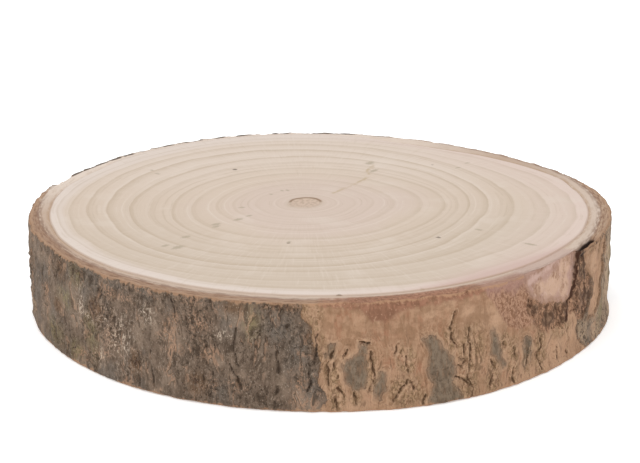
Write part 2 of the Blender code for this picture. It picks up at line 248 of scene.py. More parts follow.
# Tints on the side: angle and depth of the middle, then the reach in mm across and down
TINTS = {
    # On the grey skin
    "olive": (
        (215, 6, 5, 6), (220, 34, 5, 11), (204, 44, 9, 6), (213.5, 47, 7, 5), (210, 22, 8, 5),
        (258, 10, 4, 8), (160, 20, 9, 12), (131, 38, 10, 8), (76, 18, 8, 12), (30, 36, 10, 8),
        (352, 24, 6, 14), (341, 40, 5, 8),
    ),
    "orange": (
        (226, 8, 6, 4), (224.6, 20, 6, 4), (226, 30, 6, 7), (230.2, 9, 5, 3), (241.4, 21, 4, 8),
        (242.3, 28, 5, 3), (242.8, 13, 2.5, 5), (246.6, 2, 6, 3), (247.8, 13, 6, 6), (249, 28, 4, 4),
        (250.4, 43, 2, 4), (255, 42, 4, 4), (266.6, 40, 4, 4), (266.8, 49, 5, 3), (263.6, 2, 9, 2.4),
        (235.6, 2, 7, 2), (222, 44, 6, 3), (216.6, 47, 6, 3), (225, 39, 4, 4), (201, 25, 3, 6),
        (188, 10, 4, 8), (164, 34, 6, 5), (118, 14, 5, 9), (62, 28, 5, 7), (14, 18, 5, 9), (337, 46, 4, 5),
    ),
    "slate": (
        (223, 10, 4, 7), (263, 13, 7, 9), (266.5, 24, 6, 9), (200, 16, 6, 6), (205, 36, 6, 7),
        (252, 47, 6, 6), (254, 10, 5, 8), (269, 42, 4, 10), (228, 4, 9, 3), (192, 36, 7, 8),
        (140, 22, 12, 9), (96, 40, 12, 8), (52, 14, 10, 9), (8, 40, 9, 8), (332.5, 47, 5, 5),
    ),
    "pale": (
        (229, 31, 9, 12), (219.5, 26, 5, 3), (225, 22, 6, 6), (222.5, 44, 5, 5), (236, 14, 5, 5),
        (252.6, 18, 5, 2.5), (216.5, 21, 4, 9), (180, 30, 8, 8), (148, 12, 8, 8), (108, 28, 9, 9),
        (38, 22, 8, 10), (2, 14, 6, 9),
    ),
    "brown": (
        (330.0, 4, 8, 12), (332.0, 15, 8, 13), (332.4, 28, 9, 10), (336, 2, 3, 3), (269.4, 16, 3, 12),
        (263.5, 2, 12, 2), (322.6, 27, 6, 6), (313.7, 19.6, 3, 2.5), (318.6, 28, 5, 4), (310.6, 12, 3, 3),
        (208.6, 8, 5, 6), (206.6, 29, 4, 5), (190, 16, 6, 4), (170, 26, 6, 9), (126, 30, 9, 9),
        (84, 20, 8, 14), (36, 30, 9, 8), (12, 34, 8, 8), (255, 3, 6, 4), (247, 44, 6, 6), (222, 20, 6, 8),
        (233, 40, 4, 6),
    ),
    "sandy": (
        (344, 8, 10, 13), (347, 28, 15, 26), (353, 46, 14, 14), (338, 46, 12, 10), (330.5, 43, 7, 9),
        (358, 18, 9, 14), (24, 12, 9, 9), (68, 40, 10, 8), (112, 10, 9, 7), (155, 30, 8, 9),
        (184, 44, 8, 6), (334, 34, 5, 10),
    ),
    # Paler places on the bare inner bark
    "light": (
        (319, 44, 16, 12), (325, 38, 8, 9), (337, 14, 9, 14), (337.5, 30, 6, 12), (294, 3, 4, 4),
        (290.4, 9, 5, 4), (297.6, 9, 5, 5), (303, 18, 6, 7), (276, 50, 8, 4), (312, 50, 12, 5),
        (322, 50, 14, 6),
    ),
    # Crumbly places on it
    "rubble": (
        (269.0, 7, 5, 13), (269.9, 22, 4, 11), (272.4, 33, 4, 9), (273.2, 47, 4, 7), (279.6, 36, 3.5, 9),
        (285.5, 45, 8, 8), (285.5, 30, 5, 8), (288.8, 51, 3, 4), (294.2, 21, 4, 8), (298, 30, 7, 13),
        (297, 47, 7, 8), (303, 46, 5, 9), (307.9, 42, 4, 12), (311.9, 42, 4, 8), (315.2, 42, 4, 11),
        (305.6, 31, 4, 5), (335, 3, 5, 3), (340.4, 6, 3, 5), (322, 36, 9, 4), (276.6, 47, 3, 4),
    ),
    # Reddish brown stains on it
    "stained": (
        (281.5, 17, 9, 5), (283, 28, 6, 9), (287, 25, 4, 6), (287.8, 38, 4, 9), (274.8, 6, 6, 3),
        (293, 16, 5, 7), (299, 4, 8, 4), (271.2, 14, 3, 4), (314, 30, 9, 4), (308, 48, 5, 6),
        (335.6, 3, 3, 2.5), (340, 5, 2.5, 4), (284.8, 7, 6, 3), (287.2, 10, 4, 3), (291.6, 10, 5, 3),
    ),
    # The cream wood in the notch
    "cream": (
        (319.5, 12, 10, 7), (324, 5, 7, 6), (323.5, 14, 6, 8), (315.6, 10, 6, 4),
    ),
}

# The saw cut: how far the bark's edge lies under it, and how unevenly
EDGE_DROP, LINE_DROP = 0.4 * MM, 0.2 * MM
DROP_SPACING = 7 * MM
DROP_LEAST, DROP_MEAN, DROP_SPREAD = 0.2, 0.6, 0.8
FRAY_SPACING, FRAY_HEIGHT = 2.2 * MM, 0.15 * MM
EDGE_ROUNDING = 0.5 * MM
# The relief is evener close to the saw cuts
EVENED_SHARE, EVENED_AT_BASE, EVENED_REACH = 0.45, 0.75, 5 * MM
# The groove between bark and wood, and where it starts as a share of the inner bark's width
GROOVE_DEPTH, GROOVE_FROM = 0.45 * MM, 0.75
# The least width that any band of bark has
LEAST_WIDTH = 0.4 * MM
SAWN_BARK_SPACING, SAWN_BARK_HEIGHT = 1.7 * MM, 0.12 * MM
LAYER_LENGTH = 7 * MM

# A gap on the sawn face right of the notch, where the bark has come away: its angles, and how far in from
# the edge it lies at first and after its turn
GAP_FROM, GAP_TO, GAP_FADE, GAP_TURN = 330, 336.4, 1.5, 3
GAP_INWARD_FIRST, GAP_INWARD, GAP_WIDTH, GAP_DEPTH = 2.6 * MM, 3.4 * MM, 1.3 * MM, 4.5 * MM

# The smoother stretch at the right end: from, to, fade, and how much of the relief is left there
CALM_FROM, CALM_TO, CALM_FADE = 338, 366, 14
CALM_RELIEF, CALM_INSET_TOP, CALM_INSET_BASE = 0.55, 0.5 * MM, 1.9 * MM

# How finely the bark is cut: columns round it, rows down its side, and on its sawn faces the rows from the
# edge to the bark line and on to the wood, as shares of the way
BARK_COLUMNS = 1040
SIDE_ROWS = 63
TOP_OUTER_ROWS = (0.04, 0.28, 0.52, 0.76, 1)
TOP_INNER_ROWS = (0.14, 0.3, 0.46, 0.62, 0.78, 0.92, 1)
BASE_OUTER_ROWS = (0.04, 0.4, 1)
BASE_INNER_ROWS = (0.25, 0.55, 0.85, 1)
# Inside the wood, where the bark's hidden back runs: how far in and how deep under the sawn face
BACK_ROWS = ((0.7 * MM, 1.5 * MM), (2.2 * MM, 4 * MM))

# The wood: columns round it, rings from the pith to the edge on its top and its underside
WOOD_COLUMNS = 600
TOP_RINGS, BASE_RINGS = 96, 40
# The wood's edge: how wide its rounding is, and how far down its side starts under the groove
WOOD_EDGE, WOOD_SHOULDER = 0.6 * MM, 1.4 * MM
PITH_AT = (-5.5 * MM, 10 * MM)
PITH_RADIUS, PITH_DENT = 8.5 * MM, 0.9 * MM

# Growth rings: how far out each one lies every 30 degrees round the pith, as shares of the way from the
# pith to the outline, and how dark its late wood is
RING_SHARES = (
    (0.053, 0.060, 0.066, 0.064, 0.062, 0.062, 0.062, 0.074, 0.066, 0.060, 0.056, 0.055),
    (0.105, 0.106, 0.108, 0.108, 0.107, 0.106, 0.107, 0.110, 0.106, 0.101, 0.099, 0.101),
    (0.170, 0.172, 0.178, 0.180, 0.182, 0.184, 0.186, 0.188, 0.182, 0.176, 0.168, 0.165),
    (0.230, 0.236, 0.248, 0.255, 0.256, 0.260, 0.265, 0.270, 0.262, 0.250, 0.235, 0.222),
    (0.298, 0.303, 0.309, 0.312, 0.313, 0.317, 0.322, 0.328, 0.316, 0.303, 0.293, 0.290),
    (0.392, 0.394, 0.396, 0.396, 0.398, 0.402, 0.412, 0.438, 0.428, 0.402, 0.388, 0.387),
    (0.468, 0.470, 0.470, 0.466, 0.467, 0.474, 0.482, 0.508, 0.502, 0.476, 0.458, 0.456),
    (0.508, 0.530, 0.552, 0.556, 0.552, 0.554, 0.564, 0.576, 0.562, 0.540, 0.514, 0.502),
    (0.546, 0.590, 0.622, 0.634, 0.630, 0.632, 0.634, 0.646, 0.624, 0.590, 0.556, 0.536),
    (0.606, 0.650, 0.698, 0.735, 0.750, 0.744, 0.720, 0.724, 0.714, 0.672, 0.632, 0.598),
    (0.690, 0.736, 0.788, 0.818, 0.828, 0.820, 0.794, 0.784, 0.758, 0.716, 0.700, 0.694),
    (0.798, 0.808, 0.840, 0.860, 0.869, 0.868, 0.856, 0.862, 0.836, 0.800, 0.790, 0.802),
    (0.888, 0.894, 0.900, 0.904, 0.906, 0.904, 0.898, 0.896, 0.876, 0.866, 0.876, 0.888),
    (0.985, 0.985, 0.985, 0.985, 0.985, 0.985, 0.985, 0.985, 0.985, 0.985, 0.985, 0.985),
)
RING_DARKNESS = (0.4, 0.3, 0.3, 0.35, 0.4, 0.6, 0.75, 0.5, 1.0, 0.95, 0.75, 0.6, 0.5, 0.1)

# Small flecks in the wood: bearing from the pith, share of the way out, length and width in mm
FLECKS = (
    (113, 0.172, 3.5, 2.0), (119, 0.180, 3, 1.8), (139, 0.17, 3, 1.8), (192, 0.235, 4, 2.2),
    (217, 0.25, 4, 2.2), (219, 0.305, 6, 3.4), (218, 0.398, 6, 3.8), (221, 0.412, 5, 2.6),
    (223, 0.56, 6, 3.4), (229, 0.65, 8, 4.4), (225, 0.67, 5, 3.0), (144, 0.705, 4, 2.2),
    (142, 0.755, 3.5, 2.0), (36, 0.735, 4, 2.0), (38, 0.81, 4, 2.0), (329, 0.63, 5, 2.4),
    (325, 0.835, 9, 2.6), (291, 0.925, 4, 2.2), (263, 0.43, 4, 2.2), (64, 0.59, 7, 4.6), (57, 0.50, 8, 3.4),
)
# Small dark dots: bearing from the pith, share of the way out, across in mm
DOTS = (
    (121, 0.525, 3.4), (316, 0.565, 3.2), (276, 0.925, 3.6), (263, 0.44, 2.2), (44, 0.70, 2.0),
    (291, 0.93, 2.4),
)
# A hairline crack from near the pith to a small knot: bearing from the pith, share of the way out
HAIRLINE = ((47, 0.14), (49, 0.18), (51, 0.30), (53, 0.41), (59, 0.48), (62, 0.58))
# A pinkish stain on the wood next to the notch: angle, how far it spreads, how far in from the bark
STAIN_ANGLE, STAIN_SPREAD, STAIN_REACH = 310, 19, 9 * MM
# Added to a mark's distance on the underside, so that only the top shows it
OUT_OF_REACH = 50

# Colours as they look in the light, 0 to 255
SKIN_BROWN, SKIN_DARK, SKIN_LIGHT = (111, 94, 80), (88, 73, 60), (130, 112, 96)
SKIN_OLIVE, SKIN_SLATE, SKIN_ORANGE = (124, 111, 80), (105, 96, 87), (166, 130, 104)
SKIN_PALE, SKIN_RUSSET, SKIN_SANDY = (194, 177, 158), (106, 82, 62), (166, 142, 118)
# The skin's darkest colour serves its pits, gaps and seams, and also as painted shade in its hollows
SKIN_PIT_AND_SHADE, SKIN_CRACK = (62, 49, 38), (58, 46, 36)
REMNANT_GREY, REMNANT_DARK = (116, 102, 86), (94, 81, 67)
TAN, TAN_LIGHT, TAN_DARK, TAN_RED = (156, 123, 97), (172, 139, 113), (126, 96, 72), (140, 99, 75)
LIP, FRINGE, FISSURE = (178, 146, 119), (134, 110, 82), (82, 60, 42)
CHIP_RED, CHIP_BROWN, CHIP_SPECK = (143, 102, 81), (117, 82, 63), (172, 136, 111)
BAY_PINK, BAY_BROWN, BAY_PURPLE = (163, 127, 104), (118, 84, 64), (150, 116, 106)
NOTCH_CREAM, NOTCH_LILAC, NOTCH_BROWN = (179, 148, 127), (160, 129, 116), (134, 102, 81)
BAND_PALE, BREAK_DARK = (192, 164, 153), (56, 32, 20)
TORN_BROWN, TORN_DARK, TORN_LIGHT = (130, 97, 75), (62, 40, 27), (160, 124, 98)
# The last colour on the next line is painted shade deep in the gap on the sawn face
CUT_EDGE, OUTER_RIM, RIM_LINE, GAP_PAINTED_SHADE = (164, 128, 100), (180, 146, 119), (146, 118, 101), (46, 29, 20)
OUTER_CUT, OUTER_CUT_BROWN = (188, 159, 134), (164, 133, 110)
OUTER_CUT_DARK, OUTER_CUT_PALE = (140, 108, 87), (204, 186, 170)
INNER_CUT, INNER_CUT_PALE, CAMBIUM = (188, 162, 141), (229, 213, 199), (188, 160, 136)
WOOD, WOOD_PINK, WOOD_GREY, WOOD_BACK = (214, 195, 177), (213, 193, 179), (208, 191, 173), (220, 203, 188)
WOOD_SAP, SAP_PINK, WOOD_STAIN = (223, 208, 197), (221, 200, 188), (206, 178, 167)
WOOD_LATE, WOOD_LIGHT = (192, 172, 149), (226, 212, 199)
# The pith's line colour also serves as painted shade along its back rim
WOOD_PITH, PITH_LINE = (204, 178, 155), (146, 118, 94)
FLECK, DOT, HAIR = (180, 165, 144), (104, 88, 74), (192, 169, 138)

# Surfaces: roughness, how strongly they shine, and how high the finest relief is
BARK_ROUGHNESS, BARK_GLOSS, BARK_BUMP = 0.88, 0.25, 1.3 * MM
WOOD_ROUGHNESS, WOOD_GLOSS, WOOD_BUMP = 0.62, 0.3, 0.1 * MM
# How far a pattern moves from one layer to the next, and how fine the wobble of uneven cells is
LAYER_SHIFT = (3.1, 5.3, 7.7)
CELL_WOBBLE = 1.7
# The wood's rays: how finely they are cut round the pith, in x and y, and outwards
RAY_STRETCH = (95, 95, 9)

# How bright the light is on the sawn top and on the side
TOP_LIGHT, SIDE_LIGHT = 1.14, 0.84

# The camera, from a fit to the photograph's outline: focal length in pixels, distance and shifts from the
# middle of the trunk, how far it looks down, and its roll
PHOTO_WIDTH = 640
FOCAL_PIXELS = 2302
CAMERA_DISTANCE = 8.06 * MEAN_RADIUS
CAMERA_RIGHT, CAMERA_UP = 0.012 * MEAN_RADIUS, 0.089 * MEAN_RADIUS
CAMERA_PITCH, CAMERA_ROLL = math.radians(17.61), math.radians(0.99)
SENSOR_WIDTH = 36

# Studio
FLOOR_SIZE = 12
FLOOR_COLOUR = (0.97, 0.97, 0.97, 1)
FLOOR_GLOW = 0.3
SKY_STRENGTH = 0.8
KEY_PLACE, KEY_SIZE, KEY_POWER = (-0.2, -0.32, 1.8), 1.7, 15.5


# Smooth steps and noise

def smooth_step(value):
    value = np.clip(value, 0, 1)
    return value * value * (3 - 2 * value)


def bump(value, middle, width):
    """1 at the middle, going smoothly to 0 either side."""
    return np.exp(-(((value - middle) / width) ** 2))


def noise_at(x, y, z):
    """Smooth noise, about -1 to 1, at arrays of places."""
    places = np.stack(np.broadcast_arrays(x, y, z), axis=-1)
    values = [noise.noise(place) for place in places.reshape(-1, 3).tolist()]
    return np.array(values).reshape(places.shape[:-1])


def bark_noise(angle, depth, spacing, length=None, layer=0):
    """Noise of this spacing round the trunk and this length up and down it."""
    turn = np.radians(angle)
    x, y = MEAN_RADIUS * np.cos(turn), MEAN_RADIUS * np.sin(turn)
    return noise_at(x / spacing, y / spacing, depth / (length or spacing) + NOISE_LAYER_STEP * layer)


# Places on the side, laid out flat

def arc(angle):
    return np.radians(angle) * MEAN_RADIUS


def flat_places(corners):
    return [np.array((arc(angle), depth * MM)) for angle, depth in corners]


def segment_distance(places, start, end):
    along = end - start
    share = np.clip((places - start) @ along / (along @ along), 0, 1)
    return np.linalg.norm(places - start - share[..., None] * along, axis=-1)


def line_distance(places, corners):
    """How far each place lies from a line through the corners."""
    corners = flat_places(corners)
    return np.min([segment_distance(places, *pair) for pair in zip(corners, corners[1:])], axis=0)


def patch_distance(places, corners):
    """How far inside a patch each place lies, below 0 outside it."""
    corners = flat_places(corners)
    inside = np.zeros(places.shape[:-1], dtype=bool)
    nearest = np.full(places.shape[:-1], np.inf)
    across, down = places[..., 0], places[..., 1]
    for start, end in zip(corners, corners[1:] + corners[:1]):
        nearest = np.minimum(nearest, segment_distance(places, start, end))
        if start[1] != end[1]:
            crossing = start[0] + (end[0] - start[0]) * (down - start[1]) / (end[1] - start[1])
            inside ^= ((start[1] > down) != (end[1] > down)) & (across < crossing)
    return np.where(inside, nearest, -nearest)


def tint(angle, depth, spots):
    """How strongly the spots of a tint colour each place."""
    strengths = []
    for middle, low, across, down in spots:
        away = (arc(angle - middle) / (across * MM)) ** 2 + ((depth - low * MM) / (down * MM)) ** 2
        strengths.append(np.exp(-away))
    return np.max(strengths, axis=0)


# The bark

def outline_radius(angle):
    turn = np.radians(angle)
    waves = 0
    for count, cosine, sine in OUTLINE_WAVES:
        waves += cosine * np.cos(count * turn) + sine * np.sin(count * turn)
    return MEAN_RADIUS * (1 + waves)


def bark_lines(angle):
    """The radii where the outer bark ends and where the wood starts on the sawn faces."""
    places, outer, inner = np.array(BARK_WIDTHS).T
    number = np.clip(np.searchsorted(places, angle, side="right") - 1, 0, len(places) - 2)
    share = smooth_step((angle - places[number]) / (places[number + 1] - places[number]))
    widths = [(side[number] + (side[number + 1] - side[number]) * share) * MM for side in (outer, inner)]
    bark_line = outline_radius(angle) - widths[0]
    return bark_line, bark_line - widths[1]


def side_marks(angle, depth):
    """How far inside each kind of mark every place on the side lies."""
    places = np.stack((arc(angle), depth), axis=-1)
    for spacing, reach, first_layer in ((WANDER_SPACING, WANDER_REACH, 1), (FRET_SPACING, FRET_REACH, 15)):
        for side in (0, 1):
            places[..., side] += reach * bark_noise(angle, depth, spacing, layer=first_layer + side)
    narrowing = np.maximum(0, bark_noise(angle, depth, FISSURE_NARROWING_SPACING, layer=17))
    narrowing *= FISSURE_NARROWING
    return {
        "skin": np.minimum(-patch_distance(places, BARE), -patch_distance(places, BARE_PLATE)),
        "remnant": np.max([patch_distance(places, corners) for corners in REMNANTS], axis=0),
        "fissure": narrowing + np.min([line_distance(places, corners) for corners in FISSURES], axis=0),
        "crack": narrowing + np.min([line_distance(places, corners) for corners in SKIN_CRACKS], axis=0),
        "band": line_distance(places, NOTCH_BAND),
        "break": line_distance(places, BREAK),
        **{name: patch_distance(places, corners) for name, corners in PATCHES.items()},
    }


def main_relief(angle, depth):
    """The relief that the CAD model has too."""
    ridge = RIDGE_LEVEL - np.abs(bark_noise(angle, depth, FURROW_SPACING, FURROW_LENGTH))
    swells = bark_noise(angle, depth, SWELL_SPACING)
    crumbs = bark_noise(angle, depth, CRUMB_SPACING)
    return MEAN_RELIEF + FURROW_DEPTH * ridge + SWELL_HEIGHT * swells + CRUMB_HEIGHT * crumbs


def weathering(angle, depth):
    """How rough the grey skin is, from 0 on smooth plates to 1."""
    age = bark_noise(angle, depth, WEATHERED_SPACING, layer=6)
    return smooth_step((age - WEATHERED_FROM) / (WEATHERED_FULL - WEATHERED_FROM))


def skin_relief(angle, depth):
    """The grey skin's ridges, grit and pits."""
    grain = bark_noise(angle, depth, GRAIN_SPACING, GRAIN_LENGTH, layer=3)
    ridges = GRAIN_DEPTH * (GRAIN_LEVEL - np.abs(grain))
    grit = GRIT_HEIGHT * bark_noise(angle, depth, GRIT_SPACING, layer=4)
    hollow = bark_noise(angle, depth, PIT_SPACING, PIT_LENGTH, layer=5)
    pits = PIT_DEPTH * smooth_step((hollow - PIT_FROM) / (PIT_FULL - PIT_FROM))
    weathered = WEATHERED_LEAST + (WEATHERED_MOST - WEATHERED_LEAST) * weathering(angle, depth)
    return weathered * (ridges + grit - pits)


def flow_relief(angle, depth):
    bend = bark_noise(angle, depth, FLOW_LENGTH, layer=7)
    return FLOW_HEIGHT * bark_noise(angle + FLOW_BEND * bend, depth, FLOW_SPACING, FLOW_LENGTH, layer=8)


def lost_plates(angle, depth):
    cuts = []
    for first, last, low, cut in LOST_PLATES:
        nearest = np.minimum(np.minimum(arc(angle - first), arc(last - angle)), low * MM - depth)
        ragged = nearest + WANDER_REACH * bark_noise(angle, depth, WANDER_SPACING, layer=9)
        cuts.append(cut * MM * smooth_step(ragged / PLATE_EDGE + 0.5))
    return np.max(cuts, axis=0)


def side_surface(angle, depth):
    """The radius of the side, its fine relief and its marks."""
    marks = side_marks(angle, depth)
    on_skin = smooth_step(marks["skin"] / SKIN_EDGE + 0.5)
    on_remnant = smooth_step(marks["remnant"] / REMNANT_EDGE + 0.5)
    skin_share = np.maximum(on_skin, REMNANT_RELIEF * on_remnant)
    fine = skin_relief(angle, depth) * skin_share + flow_relief(angle, depth) * (1 - skin_share)
    fine += LIP_HEIGHT * bump(np.maximum(marks["skin"], marks["remnant"]), -LIP_AT, LIP_WIDTH)
    fine -= FISSURE_DEPTH * bump(marks["fissure"], 0, FISSURE_WIDTH)
    fine += FISSURE_LIP_HEIGHT * bump(marks["fissure"], FISSURE_LIP_AT, FISSURE_LIP_WIDTH)
    fine -= CRACK_DEPTH * bump(marks["crack"], 0, FISSURE_WIDTH)
    crumbly = np.maximum(smooth_step(marks["bay"] / NOTCH_EDGE), smooth_step(marks["chipped"] / NOTCH_EDGE))
    fine += crumbly * CRUMBLY_HEIGHT * bark_noise(angle, depth, GRIT_SPACING, layer=10)
    torn = smooth_step(marks["torn"] / NOTCH_EDGE + 0.5)
    fine += torn * TORN_ROUGHNESS * bark_noise(angle, depth, TORN_SPACING, TORN_LENGTH, layer=11)

    chip = smooth_step(marks["chipped"] / NOTCH_EDGE) * smooth_step(1 - depth / CHIP_DEPTH)
    chip *= 1 + CHIP_SPREAD * bark_noise(angle, depth, CHIP_SPACING, layer=12)
    from_calm = np.maximum(CALM_FROM - angle, angle - CALM_TO)
    from_calm = np.minimum(from_calm, np.maximum(CALM_FROM - 360 - angle, angle - CALM_TO + 360))
    calm = smooth_step(1 - from_calm / CALM_FADE)
    relief = (main_relief(angle, depth) + fine) * (1 - (1 - CALM_RELIEF) * calm)
    relief -= (CALM_INSET_TOP + (CALM_INSET_BASE - CALM_INSET_TOP) * depth / THICKNESS) * calm
    relief -= (SKIN_THICKNESS - REMNANT_THICKNESS * on_remnant) * (1 - on_skin)
    relief -= CHIP_CUT * chip
    relief -= BAY_CUT * smooth_step(marks["bay"] / NOTCH_EDGE)
    relief -= TORN_CUT * torn
    relief -= lost_plates(angle, depth)
    near_face = np.minimum(depth, THICKNESS - depth)
    evened = np.where(depth < THICKNESS / 2, EVENED_SHARE, EVENED_AT_BASE)
    relief *= 1 - evened * (1 - smooth_step(near_face / EVENED_REACH))

    notch = smooth_step(marks["notch"] / NOTCH_EDGE + 0.5)
    below = smooth_step(depth / NOTCH_LOW)
    cut = NOTCH_CUT + (NOTCH_CUT_BELOW - NOTCH_CUT) * below
    cut -= NOTCH_SWELL_HEIGHT * bark_noise(angle, depth, SWELL_SPACING, layer=13)
    relief = relief * (1 - notch) - cut * notch
    rounding = EDGE_ROUNDING * (1 - smooth_step(near_face / (2 * EDGE_ROUNDING)))
    radius = outline_radius(angle) + relief - rounding
    return np.maximum(radius, bark_lines(angle)[1] + LEAST_WIDTH), fine, marks


def edge_drop(angle, face_depth):
    """How far the bark's edge lies under the saw cut."""
    uneven = np.maximum(DROP_LEAST, DROP_MEAN + DROP_SPREAD * bark_noise(angle, face_depth, DROP_SPACING))
    fray = FRAY_HEIGHT * (1 + bark_noise(angle, face_depth, FRAY_SPACING, layer=14))
    return EDGE_DROP * uneven + fray, LINE_DROP * uneven


def face_rows(angle, face_depth, edge_radius, outer_rows, inner_rows):
    """Rows over a sawn face from the bark's edge to its hidden back: radius and depth under the face."""
    bark_line, wood_line = bark_lines(angle)
    bark_line = np.minimum(bark_line, edge_radius - LEAST_WIDTH)
    wood_line = np.minimum(wood_line, bark_line - LEAST_WIDTH)
    edge, line = edge_drop(angle, face_depth)
    rows = []
    for share in outer_rows:
        drop = line + (edge - line) * (1 - share) ** 2
        rows.append((edge_radius + (bark_line - edge_radius) * share, drop))
    for share in inner_rows:
        drop = line * (1 - share) + GROOVE_DEPTH * smooth_step((share - GROOVE_FROM) / (1 - GROOVE_FROM))
        rows.append((bark_line + (wood_line - bark_line) * share, drop))
    shown = len(rows)
    for inward, drop in BACK_ROWS:
        rows.append((wood_line - inward, np.full_like(angle, drop)))
    radius, drop = (np.array(values) for values in zip(*rows))
    grit = noise_at(
        radius * np.cos(np.radians(angle)) / SAWN_BARK_SPACING,
        radius * np.sin(np.radians(angle)) / SAWN_BARK_SPACING,
        face_depth / SAWN_BARK_SPACING,
    )
    drop[:shown] += SAWN_BARK_HEIGHT * (1 + grit[:shown])
    if face_depth == 0:
        share = smooth_step((angle - GAP_FROM) / GAP_FADE + 1) * smooth_step((GAP_TO - angle) / GAP_FADE + 1)
        turned = smooth_step((angle - GAP_FROM) / GAP_TURN)
        middle = GAP_INWARD_FIRST + (GAP_INWARD - GAP_INWARD_FIRST) * turned
        inward = outline_radius(angle) - radius
        gap = GAP_DEPTH * share * bump(inward, middle, GAP_WIDTH)
    else:
        gap = np.zeros_like(drop)
    return radius, drop + gap, gap


def closed_grid(name, places, closed_rows):
    """A mesh of quads through rows of places, with every row closed round the trunk.

    The last row joins the first one, or else both get a cap.
    """
    rows, columns = places.shape[:2]
    numbers = np.arange(rows * columns).reshape(rows, columns)
    caps = [] if closed_rows else [numbers[0].tolist(), numbers[-1, ::-1].tolist()]
    if closed_rows:
        numbers = np.vstack((numbers, numbers[:1]))
    here, there = numbers[:-1], numbers[1:]
    quads = np.stack((there, np.roll(there, -1, axis=1), np.roll(here, -1, axis=1), here), axis=-1)
    faces = quads.reshape(-1, 4).tolist() + caps
    data = bpy.data.meshes.new(name)
    data.from_pydata(places.reshape(-1, 3).tolist(), [], faces)
    data.shade_smooth()
    made = bpy.data.objects.new(name, data)
    bpy.context.scene.collection.objects.link(made)
    return made


def add_values(made, values):
    """Stores a number at every point, which the material reads by its name."""
    for name, numbers in values.items():
        layer = made.data.attributes.new(name, "FLOAT", "POINT")
        layer.data.foreach_set("value", np.ascontiguousarray(numbers, dtype=np.float32).ravel())


def on_trunk(radius, angle, depth):
    turn = np.radians(angle)
    return np.stack((radius * np.cos(turn), radius * np.sin(turn), THICKNESS - depth), axis=-1)


def add_bark():
    """The bark, as a closed ring whose hidden back runs a little inside the wood."""
    angle = np.arange(BARK_COLUMNS) * 360 / BARK_COLUMNS
    nominal = np.linspace(0, THICKNESS, SIDE_ROWS)[:, None]
    side_angle, side_depth = np.broadcast_arrays(angle, nominal)
    side_radius, fine, marks = side_surface(side_angle, side_depth)
    top_drop, base_drop = edge_drop(angle, 0)[0], edge_drop(angle, THICKNESS)[0]
    real_depth = top_drop + (THICKNESS - top_drop - base_drop) * nominal / THICKNESS
    top_radius, top_depth, top_gap = face_rows(angle, 0, side_radius[0], TOP_OUTER_ROWS, TOP_INNER_ROWS)
    base_radius, base_depth, base_gap = face_rows(
        angle, THICKNESS, side_radius[-1], BASE_OUTER_ROWS, BASE_INNER_ROWS
    )

    radius = np.vstack((top_radius[::-1], side_radius, base_radius))
    depth = np.vstack((top_depth[::-1], real_depth, THICKNESS - base_depth))
    all_angles = np.broadcast_to(angle, radius.shape)
    bark = closed_grid("bark", on_trunk(radius, all_angles, depth), closed_rows=True)

    faces = ((len(top_radius), len(base_radius)), (0, 0))

    def carried(numbers):
        """The side's numbers, carried on over both sawn faces."""
        return np.pad(numbers, faces, mode="edge")

    bark_line, wood_line = bark_lines(angle)
    values = {
        "on_face": np.pad(np.zeros_like(side_radius), faces, constant_values=1),
        "outer": (radius - bark_line) / MM,
        "inner": (radius - wood_line) / MM,
        "inward": (carried(side_radius) - radius) / MM,
        "gap": np.vstack((top_gap[::-1], np.zeros_like(side_radius), base_gap)) / MM,
        "paleness": np.interp(all_angles, *np.array(RIM_PALENESS).T),
        "depth": depth / MM,
        "layers_x": np.cos(np.radians(all_angles)) * MEAN_RADIUS / LAYER_LENGTH,
        "layers_y": np.sin(np.radians(all_angles)) * MEAN_RADIUS / LAYER_LENGTH,
        # The fine relief, which the bark's colour darkens in its hollows as painted shade
        "relief": carried(fine) / MM,
        "rough": carried(weathering(side_angle, side_depth)),
    }
    for name, distance in marks.items():
        values[name] = carried(distance) / MM
    for name, spots in TINTS.items():
        values[name] = tint(all_angles, depth, spots)
    add_values(bark, values)
    return bark


# The wood

def ring_lines(bearing):
    """How far out every growth ring lies at each bearing, by a smooth curve through RING_SHARES."""
    steps = np.fft.rfft(np.array(RING_SHARES), axis=1) / len(RING_SHARES[0])
    turn = np.radians(bearing)
    lines = []
    for step in steps:
        line = step[0].real + step[-1].real * np.cos((len(step) - 1) * turn)
        for wave, size in enumerate(step[1:-1], start=1):
            line = line + 2 * (size.real * np.cos(wave * turn) - size.imag * np.sin(wave * turn))
        lines.append(line)
    return np.array(lines)


def ring_numbers(bearing, share):
    """How many growth rings lie inside each place, with the part of the ring that it is in."""
    lines = ring_lines(bearing)
    number = np.clip(share / lines[0], 0, 1)
    for inner, outer in zip(lines, lines[1:]):
        number = number + np.clip((share - inner) / (outer - inner), 0, 1)
    return number


def from_pith(bearing, share, reach):
    """Where a place given by its bearing and share lies, from the pith."""
    turn = np.radians(bearing)
    return share * reach * np.cos(turn), share * reach * np.sin(turn)


def fleck_distance(x, y, bearing_reach, flecks):
    """Below 1 inside a fleck; its length points away from the pith."""
    nearest = np.full(x.shape, np.inf)
    for bearing, share, length, width in flecks:
        turn = math.radians(bearing)
        at_x, at_y = from_pith(bearing, share, bearing_reach(bearing))
        along = (x - at_x) * math.cos(turn) + (y - at_y) * math.sin(turn)
        across = (y - at_y) * math.cos(turn) - (x - at_x) * math.sin(turn)
        away = np.hypot(along / (length * MM / 2), across / (width * MM / 2))
        nearest = np.minimum(nearest, away)
    return nearest


